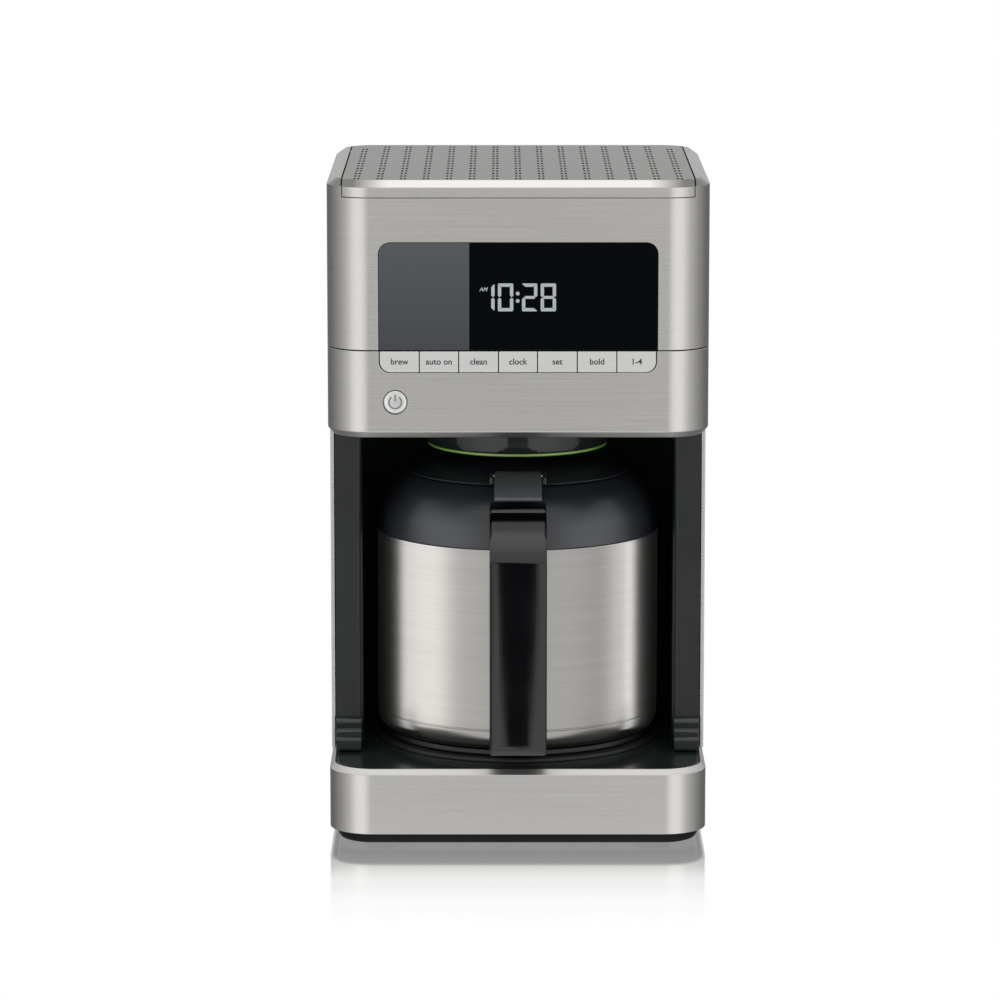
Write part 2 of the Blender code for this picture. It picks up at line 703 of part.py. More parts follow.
def make_handle():
    side_view = [
        (-58, 182.2),
        (-80, 182.2),
        (-92, 180),
        (-101, 175),
        (-107, 167.5),
        (-110, 158),
        (-110, 70),
        (-109, 62),
        (-106, 57),
        (-101, 54.2),
        (-66, 54),
        (-66, 62),
        (-92, 62.5),
        (-97, 66),
        (-98.5, 72),
        (-98.5, 154),
        (-96.5, 162),
        (-91, 168),
        (-84, 171),
        (-58, 172),
    ]
    handle = prism("handle", side_view, -HANDLE_HALF_WIDTH, HANDLE_HALF_WIDTH, "X", "gloss_black")
    soften(handle, 2.5, 3)
    outside = [(radius + GAP, z) for radius, z in carafe_body() + carafe_shoulder()]
    clearance = [(0, 40), (70 + GAP, 40), *outside, (0, 188.4)]
    cut(handle, turned("carafe_clearance", clearance))
    cut(handle, rod("screw_recess", "Z", (0, -84), 3.4, 50, 56.4, steps=16))
    rod("handle_screw", "Z", (0, -84), 3.0, 54.2, 56.1, "polished_steel", 16)


clear_scene()
MODEL = new_collection("drip_coffee_maker")
CUTTERS = new_collection("cutters")
make_materials()
make_feet()
make_base()
make_tower()
make_lower_housing()
make_upper_housing()
make_lid()
make_display()
make_keys()
make_power_button()
make_tank()
make_basket()
make_base_internals()
make_carafe()
make_carafe_lid()
make_handle()
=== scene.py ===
"""Looks of the drip coffee maker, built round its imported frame.

Lengths in this file are in millimetres unless a comment says otherwise, and become metres when a mesh
is made. The front faces -Y, and x = 0 is the middle of the machine.
"""

import json
from math import cos, pi, radians, sin, tan

import bmesh
import bpy
from mathutils import Matrix, Vector

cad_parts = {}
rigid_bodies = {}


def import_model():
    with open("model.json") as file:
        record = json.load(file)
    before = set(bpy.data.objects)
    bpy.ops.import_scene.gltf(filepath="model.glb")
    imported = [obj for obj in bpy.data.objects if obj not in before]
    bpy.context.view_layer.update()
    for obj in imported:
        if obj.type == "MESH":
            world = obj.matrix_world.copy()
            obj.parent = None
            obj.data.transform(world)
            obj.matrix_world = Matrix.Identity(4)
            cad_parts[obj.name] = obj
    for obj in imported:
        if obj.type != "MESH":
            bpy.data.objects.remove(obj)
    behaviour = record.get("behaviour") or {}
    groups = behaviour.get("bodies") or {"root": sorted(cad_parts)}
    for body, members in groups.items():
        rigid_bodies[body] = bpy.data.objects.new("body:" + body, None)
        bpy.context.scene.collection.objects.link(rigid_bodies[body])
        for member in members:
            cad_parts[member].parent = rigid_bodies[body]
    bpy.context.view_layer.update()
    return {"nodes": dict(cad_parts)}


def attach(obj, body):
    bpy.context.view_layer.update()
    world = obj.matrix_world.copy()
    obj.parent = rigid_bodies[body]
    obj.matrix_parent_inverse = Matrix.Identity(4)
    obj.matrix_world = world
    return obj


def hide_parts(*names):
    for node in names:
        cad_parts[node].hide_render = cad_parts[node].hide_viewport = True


MM = 0.001

HALF_WIDTH = 100.0
FRONT_Y = -90.0
BACK_Y = 110.0
CORNER_RADIUS = 22.5
CORNER_STEPS = 20
GAP = 0.3

BAND_BOTTOM = 8.3
BAND_BEVEL_Z = 40.4
BAND_TOP = 43.4
DECK_TOP = 43.2
TOWER_BOTTOM = 43.7
TOWER_TOP = 220.2
HOUSING_BOTTOM = 220.5
HOUSING_BEVEL_Z = 223.9
SEAM_Z = 266.7
TOP_BEVEL_Z = 351.9
TOP_Z = 355.3
TOP_BEVEL = 4.7

PILLAR_FRONT_Y = -38.0
PILLAR_INNER_X = 83.0
NICHE_X = 84.0
NICHE_BACK_Y = 86.0
NICHE_CORNER = 45.0
NICHE_WALL = 2.5
PILLAR_BACK_Y = 20.0
SHEET = 2.0
EDGE_RADIUS = 0.3

# Stepped foot of a pillar: its outline in YZ, and its two ends in X.
PILLAR_FOOT = (
    (-36, 43.7),
    (-48, 43.7),
    (-48, 51),
    (-41.8, 53.4),
    (-41.8, 59.4),
    (-39.2, 61.2),
    (-36, 61.2),
)
PILLAR_FOOT_ENDS = (84.0, 97.4)
GLAND_X = 60.0
GLAND_Z = 22.0
GLAND_HOLE_RADIUS = 6.8

LID_HALF_WIDTH = 91.5
LID_BACK_Y = 102.0
LID_SKIRT_Z = 346.5
LID_GAP = 0.7
LID_FRONT_GAP = 0.3
LID_CORNER = 8.0
LID_TOP_THICKNESS = 2.2
LID_HOLLOW_BACK_Y = 84.0
HINGE_Y = 90.0
HINGE_Z = 352.3

# The chamfer round the top gets a painted reflection, bright as far as the first x to each side, and painted
# shade, dark from the second.
EDGE_BRIGHT_X = 68.0
EDGE_DARK_X = 86.0

# Vents: pairs of slots in rows across the lid, with their spread the half distance within a pair.
VENT_ROWS = 15
VENT_PITCH_X = 12.0
VENT_SPREAD = 1.05
VENT_PITCH_Y = 13.2
VENT_COUNT = 14
VENT_HALF_WIDTH = 0.62
VENT_HALF_LENGTH = 2.9
VENT_DEPTH = 1.2

# Display, keys and power button, all on the front.
WINDOW_LEFT = -72.5
WINDOW_RIGHT = 72.4
WINDOW_TOP = 323.1
WINDOW_RADIUS = 6.0
WINDOW_SPLIT = -25.5
DIGIT_BOTTOM = 287.3
DIGIT_TOP = 301.9
DIGIT_WIDTH = 8.0
DIGIT_STROKE = 1.75
DIGIT_GAP = 0.12
COLON_HEIGHTS = (292.75, 296.6)
KEY_EDGES = (-72.3, -51.5, -31.0, -10.3, 10.0, 30.7, 51.3, 71.9)
KEY_BODIES = (
    "key_brew",
    "key_auto_on",
    "key_clean",
    "key_clock",
    "key_set",
    "key_bold",
    "key_small_batch",
)
KEY_WORDS = ("brew", "auto on", "clean", "clock", "set", "bold", "1-4")
KEY_BOTTOM = 255.3
KEY_TOP = 266.3
KEY_RADIUS = 5.6
KEY_CLEARANCE = 0.25
KEY_LETTERS = 4.4
BUTTON_X = -64.1
BUTTON_Z = 239.6
BUTTON_HOLE_RADIUS = 6.6

# The basket and the carafe turn about the upright line at this y.
BREW_Y = 4.0
FINE_STEPS = 128
HANDLE_FRONT_Y = -110.0
HANDLE_FRONT_RADIUS = 170.0
HANDLE_HALF_WIDTH = 15.0

# Narrow lights between the pillars and the carafe.
STRIP_X = 81.0
STRIP_Y = -36.0
STRIP_WIDTH = 14.0

# Lights in the room, in metres.
PANEL_DISTANCE = 1.2
PANEL_HEIGHT = 1.4
FLOOR_HALF_WIDTH = 1.6

# Brightness of the room, as (azimuth over 180 degrees, half of the brightness). Azimuth 0 is in front.
RING_BRIGHTNESS = (
    (0.0, 0.56),
    (0.2, 0.56),
    (0.3, 0.52),
    (0.38, 0.38),
    (0.5, 0.26),
    (0.62, 0.165),
    (0.76, 0.11),
    (0.88, 0.2),
    (1.0, 0.36),
)

# The same for its ceiling, as (height of the direction, from 0 to 1 straight up; half of the brightness).
CEILING_BRIGHTNESS = ((0.0, 0.5), (0.4, 0.5), (0.9, 0.75))

# Dark spot low in front, which the flat front mirrors: its half width in degrees, then Z of its middle
# and its half height, both as the height of a direction.
DARK_SPOT_WIDTH = 8.0
DARK_SPOT_Z = -0.155
DARK_SPOT_HEIGHT = 0.11

# The floor's reflection, as (metres from the machine, share of the light that is mirrored).
REFLECTION_FADE = ((0.0, 0.75), (0.025, 0.72), (0.07, 0.25), (0.11, 0.08), (0.16, 0.0))


# ---------------------------------------------------------------- materials


class Nodes:
    """Short ways to add nodes to a tree."""

    def __init__(self, tree):
        self.tree = tree

    def feed(self, value, socket):
        """Links the value to the socket if it comes from a node, and sets it otherwise."""
        if isinstance(value, bpy.types.NodeSocket):
            self.tree.links.new(value, socket)
        else:
            socket.default_value = value

    def node(self, kind, **values):
        made = self.tree.nodes.new(kind)
        for socket, value in values.items():
            self.feed(value, made.inputs[socket.replace("_", " ")])
        return made

    def math(self, operation, *values):
        made = self.tree.nodes.new("ShaderNodeMath")
        made.operation = operation
        for socket, value in zip(made.inputs, values):
            self.feed(value, socket)
        return made.outputs["Value"]

    def mix(self, factor, first, second):
        """Colour between the first (factor 0) and the second (factor 1)."""
        made = self.tree.nodes.new("ShaderNodeMix")
        made.data_type = "RGBA"
        for socket, value in (("Factor", factor), ("A", first), ("B", second)):
            self.feed(value, next(item for item in made.inputs if item.name == socket and item.enabled))
        return next(item for item in made.outputs if item.enabled)

    def mix_shaders(self, factor, first, second):
        made = self.node("ShaderNodeMixShader", Fac=factor)
        self.tree.links.new(first.outputs[0], made.inputs[1])
        self.tree.links.new(second.outputs[0], made.inputs[2])
        return made

    def coordinates(self, kind="Object"):
        """The X, Y and Z outputs of a place on the object, or of a way into the world (Generated)."""
        place = self.node("ShaderNodeTexCoord").outputs[kind]
        return self.node("ShaderNodeSeparateXYZ", Vector=place).outputs

    def ramp(self, value, stops):
        """Grey that follows the value smoothly through stops of (place, brightness), both from 0 to 1."""
        made = self.node("ShaderNodeValToRGB", Fac=value)
        elements = made.color_ramp.elements
        while len(elements) < len(stops):
            elements.new(1.0)
        for element, (place, level) in zip(elements, stops):
            element.position = place
            element.color = (level, level, level, 1.0)
        made.color_ramp.interpolation = "EASE"
        return made.outputs["Color"]


class Look(Nodes):
    """A Principled material with short ways to add its procedural detail."""

    def __init__(self, name, colour, roughness, metallic=0.0):
        self.material = bpy.data.materials.new(name)
        self.material.use_nodes = True
        super().__init__(self.material.node_tree)
        self.shader = self.tree.nodes["Principled BSDF"]
        self.set(Roughness=roughness, Metallic=metallic)
        self.shader.inputs["Base Color"].default_value = (*colour, 1.0)
        self.colour = colour

    def set(self, **values):
        for socket, value in values.items():
            self.shader.inputs[socket.replace("_", " ")].default_value = value

    def noise(self, cells, detail=2.0):
        """Noise with so many cells per metre along X, Y and Z."""
        place = self.node("ShaderNodeTexCoord").outputs["Object"]
        stretched = self.node("ShaderNodeMapping", Vector=place, Scale=cells).outputs["Vector"]
        return self.node("ShaderNodeTexNoise", Vector=stretched, Scale=1.0, Detail=detail).outputs["Fac"]

    def span(self, value, low, high, start=0.25, end=0.75):
        """Goes from low to high while the value goes from start to end. Noise is mostly in 0.25 to 0.75."""
        limits = {"From_Min": start, "From_Max": end, "To_Min": low, "To_Max": high}
        return self.node("ShaderNodeMapRange", Value=value, **limits).outputs["Result"]

    def paint(self, colour):
        self.tree.links.new(colour, self.shader.inputs["Base Color"])

    def shade(self, value, low, high):
        """Colour that varies between the base colour times low and times high."""
        dark = tuple(part * low for part in self.colour) + (1.0,)
        light = tuple(part * high for part in self.colour) + (1.0,)
        self.paint(self.mix(self.span(value, 0, 1), dark, light))

    def rough(self, value, low, high):
        self.tree.links.new(self.span(value, low, high), self.shader.inputs["Roughness"])

    def bump(self, value, distance, strength=1.0):
        made = self.node("ShaderNodeBump", Height=value, Distance=distance, Strength=strength)
        self.tree.links.new(made.outputs["Normal"], self.shader.inputs["Normal"])


def brushed(name, colour, roughness, grain, wide, low=0.97, high=1.03, tint=1.0, level=False):
    """Steel with fine lines. Grain and wide are noise cells per metre along each axis.

    The tint darkens what the steel reflects at a grazing angle. The lines run round the vertical axis,
    or straight along X on a level sheet.
    """
    look = Look(name, colour, roughness, 1.0)
    fine = look.noise(grain, detail=3.0)
    slow = look.noise(wide)
    both = look.math("ADD", look.math("MULTIPLY", fine, 0.65), look.math("MULTIPLY", slow, 0.35))
    look.shade(both, low, high)
    look.rough(fine, roughness - 0.015, roughness + 0.015)
    look.bump(fine, 0.00001, 0.04)
    look.set(Anisotropic=0.6)
    look.shader.inputs["Specular Tint"].default_value = (tint, tint, tint, 1.0)
    if level:
        lines = look.node("ShaderNodeCombineXYZ", X=1.0)
    else:
        lines = look.node("ShaderNodeTangent")
        lines.direction_type = "RADIAL"
        lines.axis = "Z"
    look.tree.links.new(lines.outputs[0], look.shader.inputs["Tangent"])
    return look.material


def moulded(name, colour, roughness, grain=1500, depth=0.00002, spread=0.05, shine=0.5, uneven=0.15):
    """Plastic or rubber with a fine grain, depth metres deep, and slow changes in its gloss and colour."""
    look = Look(name, colour, roughness)
    fine = look.noise((grain, grain, grain))
    slow = look.noise((40, 40, 40))
    look.shade(slow, 1 - uneven, 1 + uneven)
    look.rough(slow, max(roughness - spread, 0.02), roughness + spread)
    look.bump(fine, depth, 0.3)
    look.set(Specular_IOR_Level=shine)
    return look.material


def painted_sheen_edge_steel():
    """Steel of the chamfer round the top, with a painted reflection bright along the front and painted shade
    darker towards the corners.
    """
    bright = (0.6, 0.59, 0.57)
    dark = (0.14, 0.138, 0.133)
    look = Look("painted_sheen_edge_steel", bright, 0.28, 1.0)
    aside = look.math("ABSOLUTE", look.coordinates()["X"])
    corner = look.span(aside, 0, 1, EDGE_BRIGHT_X * MM, EDGE_DARK_X * MM)
    look.paint(look.mix(corner, (*bright, 1), (*dark, 1)))
    look.rough(look.noise((14, 14, 900), detail=3.0), 0.26, 0.3)
    return look.material


def window_glass():
    """Gloss black panel whose left part is smoke grey."""
    black = (0.002, 0.0028, 0.003)
    look = Look("window_glass", black, 0.06)
    place = look.coordinates()
    left = look.math("LESS_THAN", place["X"], WINDOW_SPLIT * MM)
    rise = look.span(place["Z"], 0, 1, SEAM_Z * MM, WINDOW_TOP * MM)
    grey = look.mix(rise, (0.06, 0.062, 0.07, 1), (0.085, 0.095, 0.098, 1))
    look.paint(look.mix(left, (*black, 1), grey))
    look.rough(look.noise((300, 300, 300)), 0.05, 0.09)
    look.set(Specular_IOR_Level=0.15)
    return look.material


def clear_plastic():
    look = Look("tank_plastic", (0.8, 0.86, 0.88), 0.12)
    look.set(Transmission_Weight=0.85, IOR=1.45)
    look.rough(look.noise((60, 60, 60)), 0.08, 0.2)
    return look.material


def lit_segment():
    look = Look("display_light", (0.32, 0.36, 0.375), 0.4)
    look.set(Emission_Strength=0.06)
    look.shader.inputs["Emission Color"].default_value = (0.75, 0.86, 0.9, 1.0)
    look.shade(look.noise((500, 500, 500)), 0.92, 1.08)
    return look.material


def metal_looks():
    even = (200, 200, 200)
    wide = (60, 60, 60)
    return {
        "steel": brushed("body_steel", (0.455, 0.447, 0.43), 0.28, (14, 14, 2200), (5, 5, 420), tint=0.6),
        "lid_steel": brushed(
            "lid_steel", (0.335, 0.33, 0.318), 0.3, (25, 1500, 1500), (8, 300, 300), tint=0.5, level=True
        ),
        "painted_sheen_edge_steel": painted_sheen_edge_steel(),
        "carafe_steel": brushed(
            "carafe_steel", (0.35, 0.343, 0.325), 0.29, (14, 14, 1900), (6, 6, 330), 0.93, 1.07
        ),
        "inner_steel": brushed("inner_steel", (0.5, 0.49, 0.48), 0.3, (20, 20, 900), (8, 8, 200)),
        "button": brushed("button_satin", (0.55, 0.55, 0.54), 0.3, even, wide, 0.98, 1.02),
        "key": brushed("key_satin", (0.55, 0.55, 0.537), 0.34, (60, 60, 1800), (20, 20, 300), 0.98, 1.02),
        "chrome": brushed("polished_metal", (0.72, 0.72, 0.71), 0.12, even, wide),
        "cast": moulded("cast_aluminium", (0.6, 0.61, 0.62), 0.4, 900, 0.00006),
    }


def black_looks():
    gloss = (500, 0.000004, 0.025)
    return {
        "gloss": moulded("gloss_black_plastic", (0.014, 0.019, 0.018), 0.12, *gloss),
        "niche": moulded("niche_black_plastic", (0.035, 0.05, 0.047), 0.14, *gloss),
        "pillar": moulded("satin_black_plastic", (0.008, 0.01, 0.011), 0.32, 900, 0.000006, 0.03, 0.4),
        "handle": moulded("handle_black_plastic", (0.001, 0.0012, 0.0018), 0.08, 400, 0.000003, 0.02, 0.6),
        "shoulder": moulded("shoulder_black_plastic", (0.012, 0.014, 0.018), 0.36, 1800, 0.000012),
        # Matte black made darker for the plinth: painted shade, as it sits under the band.
        "plinth": moulded("plinth_black_and_painted_shade", (0.003, 0.003, 0.003), 0.5, 1600, shine=0.15),
        "matte": moulded("matte_black_plastic", (0.01, 0.011, 0.012), 0.5, 1600),
        "rubber": moulded("foot_rubber", (0.02, 0.02, 0.02), 0.75, 1200, 0.00004),
        "vent": moulded("vent_shadow", (0.012, 0.012, 0.012), 0.6, depth=0.00001, shine=0.1),
        "print": moulded("dark_print", (0.02, 0.02, 0.022), 0.55, depth=0.000005, shine=0.2),
    }


def other_looks():
    return {
        "lever": moulded("lever_grey_plastic", (0.075, 0.082, 0.084), 0.5, 1600),
        "silicone": moulded("clear_silicone", (0.6, 0.6, 0.57), 0.45, 900),
        "green": moulded("ring_green_plastic", (0.28, 0.55, 0.07), 0.32, depth=0.00001),
        "board": moulded("circuit_board", (0.02, 0.13, 0.05), 0.4, 700, 0.00004, 0.1, uneven=0.4),
        "white": moulded("white_plastic", (0.65, 0.65, 0.62), 0.4),
        "sign": moulded("grey_print", (0.16, 0.16, 0.16), 0.5, depth=0.000005),
        "window": window_glass(),
        "tank": clear_plastic(),
        "light": lit_segment(),
    }


# ---------------------------------------------------------------- mesh helpers


def placed(name, data):
    """A new object in the scene."""
    made = bpy.data.objects.new(name, data)
    bpy.context.scene.collection.objects.link(made)
    return made


def add(name, mesh, body, look, slot, *nodes):
    """Adds a finished mesh as a piece that rides a body and stands for the CAD nodes named."""
    piece = placed(name, mesh)
    mesh.materials.clear()
    mesh.materials.append(LOOKS[look])
    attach(piece, body)
    if nodes:
        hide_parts(*nodes)
    return piece


def repaint(piece, look, wanted):
    """Gives another look to the faces that wanted picks by their normal and their centre in mm."""
    piece.data.materials.append(LOOKS[look])
    index = len(piece.data.materials) - 1
    for face in piece.data.polygons:
        if wanted(face.normal, face.center / MM):
            face.material_index = index


def mesh_of(builder, name="shape"):
    bmesh.ops.recalc_face_normals(builder, faces=builder.faces)
    mesh = bpy.data.meshes.new(name)
    builder.to_mesh(mesh)
    builder.free()
    return mesh


def baked(work, helpers=()):
    """The mesh of a work object after its modifiers. The object and its helpers are removed."""
    graph = bpy.context.evaluated_depsgraph_get()
    made = bpy.data.meshes.new_from_object(work.evaluated_get(graph), depsgraph=graph)
    for old in (work, *helpers):
        bpy.data.objects.remove(old, do_unlink=True)
    return made


def finished(mesh, cuts=(), joins=(), common=(), edge=0.0, segments=3, angle=35.0, clamp=True):
    """The mesh after its Booleans and its edge rounding, smooth except at edges sharper than the angle."""
    work = placed("work", mesh)
    mesh.shade_smooth()
    helpers = []
    for operation, meshes in (("INTERSECT", common), ("DIFFERENCE", cuts), ("UNION", joins)):
        for other in meshes:
            other.shade_smooth()
            helpers.append(placed("helper", other))
            modifier = work.modifiers.new("cut", "BOOLEAN")
            modifier.operation = operation
            modifier.solver = "EXACT"
            modifier.object = helpers[-1]
    if edge:
        modifier = work.modifiers.new("edge", "BEVEL")
        modifier.width = edge * MM
        modifier.segments = segments
        modifier.limit_method = "ANGLE"
        modifier.angle_limit = radians(angle)
        modifier.use_clamp_overlap = clamp
    made = baked(work, helpers)
    made.set_sharp_from_angle(angle=radians(angle))
    return flattened(made)


def flattened(mesh):
    """Lets the large faces keep their own normals, so that only the small rounded edges shade smoothly."""
    work = placed("work", mesh)
    modifier = work.modifiers.new("normals", "WEIGHTED_NORMAL")
    modifier.keep_sharp = True
    modifier.weight = 100
    return baked(work)


def arc(centre, radius, start, end, steps):
    """Points of an arc, in degrees anticlockwise from the first axis."""
    angles = [radians(start + (end - start) * step / steps) for step in range(steps + 1)]
    return [(centre[0] + radius * cos(a), centre[1] + radius * sin(a)) for a in angles]


def rounded_rectangle(low, high, radii, steps=CORNER_STEPS):
    """Outline with its own radius at the corners ++, -+, -- and +-; a radius of 0 leaves a square corner."""
    outline = []
    signs = ((1, 1), (-1, 1), (-1, -1), (1, -1))
    for quarter, ((side_x, side_y), radius) in enumerate(zip(signs, radii)):
        x = high[0] if side_x > 0 else low[0]
        y = high[1] if side_y > 0 else low[1]
        if not radius:
            outline.append((x, y))
            continue
        centre = (x - side_x * radius, y - side_y * radius)
        outline += arc(centre, radius, 90 * quarter, 90 * quarter + 90, steps)
    return outline


def rounded_path(points, radius, steps=6):
    """The same open line with its inner corners rounded."""
    line = [points[0]]
    for before, corner, after in zip(points, points[1:], points[2:]):
        corner_v = Vector(corner)
        back = Vector(before) - corner_v
        ahead = Vector(after) - corner_v
        reach = min(radius, back.length / 2, ahead.length / 2)
        start = corner_v + back.normalized() * reach
        end = corner_v + ahead.normalized() * reach
        for step in range(steps + 1):
            t = step / steps
            line.append(tuple(start * (1 - t) ** 2 + corner_v * 2 * t * (1 - t) + end * t**2))
    line.append(points[-1])
    return line


def body_outline(inset):
    radius = CORNER_RADIUS - inset
    low = (-HALF_WIDTH + inset, FRONT_Y + inset)
    high = (HALF_WIDTH - inset, BACK_Y - inset)
    return rounded_rectangle(low, high, (radius,) * 4)


def extrude(builder, corners, step):
    """Adds the solid between the face through the corners and the same face moved by the step."""
    face = builder.faces.new([builder.verts.new(Vector(corner) * MM) for corner in corners])
    top = bmesh.ops.extrude_face_region(builder, geom=[face])["geom"]
    moved = [item for item in top if isinstance(item, bmesh.types.BMVert)]
    bmesh.ops.translate(builder, vec=[part * MM for part in step], verts=moved)


def prism(outline, start, end, axis="Z"):
    """Extrudes an outline. It lies in XY, in XZ or in YZ, square to the axis."""
    place = {
        "X": lambda a, b: (start, a, b),
        "Y": lambda a, b: (a, start, b),
        "Z": lambda a, b: (a, b, start),
    }[axis]
    step = [end - start if letter == axis else 0.0 for letter in "XYZ"]
    builder = bmesh.new()
    extrude(builder, [place(a, b) for a, b in outline], step)
    return mesh_of(builder)


def rod(axis, centre, radius, start, end, steps=48):
    """A cylinder along an axis. The centre is given in the two other directions."""
    return prism(arc(centre, radius, 0, 360 - 360 / steps, steps - 1), start, end, axis)


def box(low, high):
    return prism(rounded_rectangle(low[:2], high[:2], (0, 0, 0, 0)), low[2], high[2])


def turned(profile, centre=(0.0, BREW_Y), steps=FINE_STEPS):
    """Turns a profile of (radius, height) round a vertical axis. It is closed, or ends on the axis."""
    builder = bmesh.new()
    points = [builder.verts.new(Vector((radius, 0.0, z)) * MM) for radius, z in profile]
    edges = [builder.edges.new(pair) for pair in zip(points, points[1:])]
    if profile[0][0] and profile[-1][0]:
        edges.append(builder.edges.new((points[-1], points[0])))
    shape = points + edges
    bmesh.ops.spin(builder, geom=shape, axis=(0, 0, 1), angle=2 * pi, steps=steps, use_merge=False)
    bmesh.ops.remove_doubles(builder, verts=builder.verts, dist=1e-6)
    bmesh.ops.translate(builder, verts=builder.verts, vec=Vector((*centre, 0.0)) * MM)
    return mesh_of(builder)


def body_sweep(profile, ring=False):
    """Joins body outlines, each at an (inset, height). A ring closes on itself; other sweeps get caps."""
    builder = bmesh.new()
    loops = []
    for inset, z in profile:
        loops.append([builder.verts.new(Vector((x, y, z)) * MM) for x, y in body_outline(inset)])
    pairs = list(zip(loops, loops[1:]))
    if ring:
        pairs.append((loops[-1], loops[0]))
    else:
        builder.faces.new(loops[0])
        builder.faces.new(loops[-1])
    for lower, upper in pairs:
        for i in range(len(lower)):
            builder.faces.new((lower[i - 1], lower[i], upper[i], upper[i - 1]))
    return mesh_of(builder)


def wall(path, thickness, bottom, top):
    """A line in plan given its thickness on the left of its way, and its height."""
    points = [Vector(point) for point in path]
    offset = []
    for i, point in enumerate(points):
        before = (point - points[i - 1]).normalized() if i else None
        after = (points[i + 1] - point).normalized() if i + 1 < len(points) else None
        normals = [Vector((-way.y, way.x)) for way in (before, after) if way]
        middle = sum(normals, Vector((0.0, 0.0))).normalized()
        offset.append(tuple(point + middle * thickness / middle.dot(normals[0])))
    return prism(list(path) + offset[::-1], bottom, top)


# ---------------------------------------------------------------- machine


def make_base():
    plinth = [(8, 2.0), (5.6, 2.9), (4.5, 4.4), (4, 6.4), (4, 8.0), (6.5, 8.0), (6.5, 4.5)]
    mesh = finished(body_sweep(plinth), angle=40)
    # The plinth gets the darker black, which is painted shade under the band.
    add("plinth_skin", mesh, "machine", "plinth", "matte_black", "base_plinth")
    band = [
        (0, BAND_BOTTOM),
        (0, BAND_BEVEL_Z),
        (2.2, BAND_TOP),
        (3.6, BAND_TOP),
        (3.6, BAND_TOP - 1),
        (1.5, BAND_BEVEL_Z - 0.8),
        (1.5, BAND_BOTTOM),
    ]
    gland_hole = rod("Y", (GLAND_X, GLAND_Z), GLAND_HOLE_RADIUS, BACK_Y - 10, BACK_Y + 10)
    mesh = finished(body_sweep(band, ring=True), cuts=[gland_hole], edge=0.35)
    add("base_band_skin", mesh, "machine", "steel", "brushed_steel", "base_band")
    deck = finished(prism(body_outline(3.9), DECK_TOP - 2.4, DECK_TOP), edge=EDGE_RADIUS)
    add("deck_skin", deck, "machine", "gloss", "gloss_black", "deck")
    rest = [(0, 43.5), (77, 43.5), (77, 44.4), (76.8, 44.9), (76.2, 45.2), (75.4, 45.3)]
    rest += [(70.4, 45.3), (69.4, 44.7), (0, 44.6)]
    add("rest_skin", finished(turned(rest)), "machine", "matte", "matte_black", "carafe_rest")


def make_tower():
    wrap = [
        (-HALF_WIDTH, PILLAR_FRONT_Y),
        *arc((-HALF_WIDTH + CORNER_RADIUS, BACK_Y - CORNER_RADIUS), CORNER_RADIUS, 180, 90, CORNER_STEPS),
        *arc((HALF_WIDTH - CORNER_RADIUS, BACK_Y - CORNER_RADIUS), CORNER_RADIUS, 90, 0, CORNER_STEPS),
        (HALF_WIDTH, PILLAR_FRONT_Y),
    ]
    mesh = finished(wall(wrap[::-1], SHEET, TOWER_BOTTOM, TOWER_TOP), edge=0.4)
    add("tower_wrap_skin", mesh, "machine", "steel", "brushed_steel", "tower_wrap")
    centre_x = NICHE_X - NICHE_CORNER
    centre_y = NICHE_BACK_Y - NICHE_CORNER
    left = arc((-centre_x, centre_y), NICHE_CORNER, 180, 90, CORNER_STEPS)
    right = arc((centre_x, centre_y), NICHE_CORNER, 90, 0, CORNER_STEPS)
    path = [(-NICHE_X, PILLAR_BACK_Y + GAP), *left, *right, (NICHE_X, PILLAR_BACK_Y + GAP)]
    mesh = finished(wall(path, NICHE_WALL, TOWER_BOTTOM, TOWER_TOP), edge=EDGE_RADIUS)
    add("niche_skin", mesh, "machine", "niche", "gloss_black", "niche_wall")


def make_pillars():
    outer_x = HALF_WIDTH - SHEET - GAP
    for side, name in ((-1, "left"), (1, "right")):
        nose = arc((PILLAR_INNER_X + 3, PILLAR_FRONT_Y + 3), 3, 270, 180, 10)
        line = [(outer_x, PILLAR_FRONT_Y), *nose, (NICHE_X, PILLAR_BACK_Y)]
        line = [(side * x, y) for x, y in line][::-side]
        start, end = PILLAR_FOOT_ENDS
        foot = prism(rounded_path(PILLAR_FOOT, 1.8, 5), side * start, side * end, "X")
        mesh = finished(wall(line, NICHE_WALL, TOWER_BOTTOM, TOWER_TOP), joins=[foot], edge=EDGE_RADIUS)
        piece = add(f"pillar_{name}_skin", mesh, "machine", "pillar", "gloss_black", f"pillar_{name}")
        repaint(piece, "gloss", lambda normal, centre: centre.y < PILLAR_FRONT_Y - 0.05)


def make_lower_housing():
    shell = [
        (3.0, HOUSING_BOTTOM),
        (0, HOUSING_BEVEL_Z),
        (0, SEAM_Z - GAP),
        (SHEET, SEAM_Z - GAP),
        (SHEET, 225.0),
        (4.0, 223.1),
        (5.5, 223.1),
        (5.5, HOUSING_BOTTOM),
    ]
    notch = rounded_rectangle((-72.6, 255.0), (72.2, 280.0), (0, 0, 5.9, 5.9), 10)
    cuts = [
        prism(notch, FRONT_Y - 5, FRONT_Y + 8, "Y"),
        rod("Y", (BUTTON_X, BUTTON_Z), BUTTON_HOLE_RADIUS, FRONT_Y - 5, FRONT_Y + 8),
    ]
    mesh = finished(body_sweep(shell, ring=True), cuts=cuts, edge=EDGE_RADIUS)
    add("lower_housing_skin", mesh, "machine", "steel", "brushed_steel", "lower_housing")


def lid_plan(grow, front_y=FRONT_Y - 20):
    low = (-LID_HALF_WIDTH - grow, front_y)
    high = (LID_HALF_WIDTH + grow, LID_BACK_Y + grow)
    return rounded_rectangle(low, high, (LID_CORNER + grow, LID_CORNER + grow, 0, 0), 10)


def pin_bore(side):
    return rod("X", (HINGE_Y, HINGE_Z), 1.5, side * 82, side * 94.3, 16)


def on_slope(normal, centre):
    """Whether a face is part of the chamfer round the top."""
    return 0.3 < normal.z < 0.9


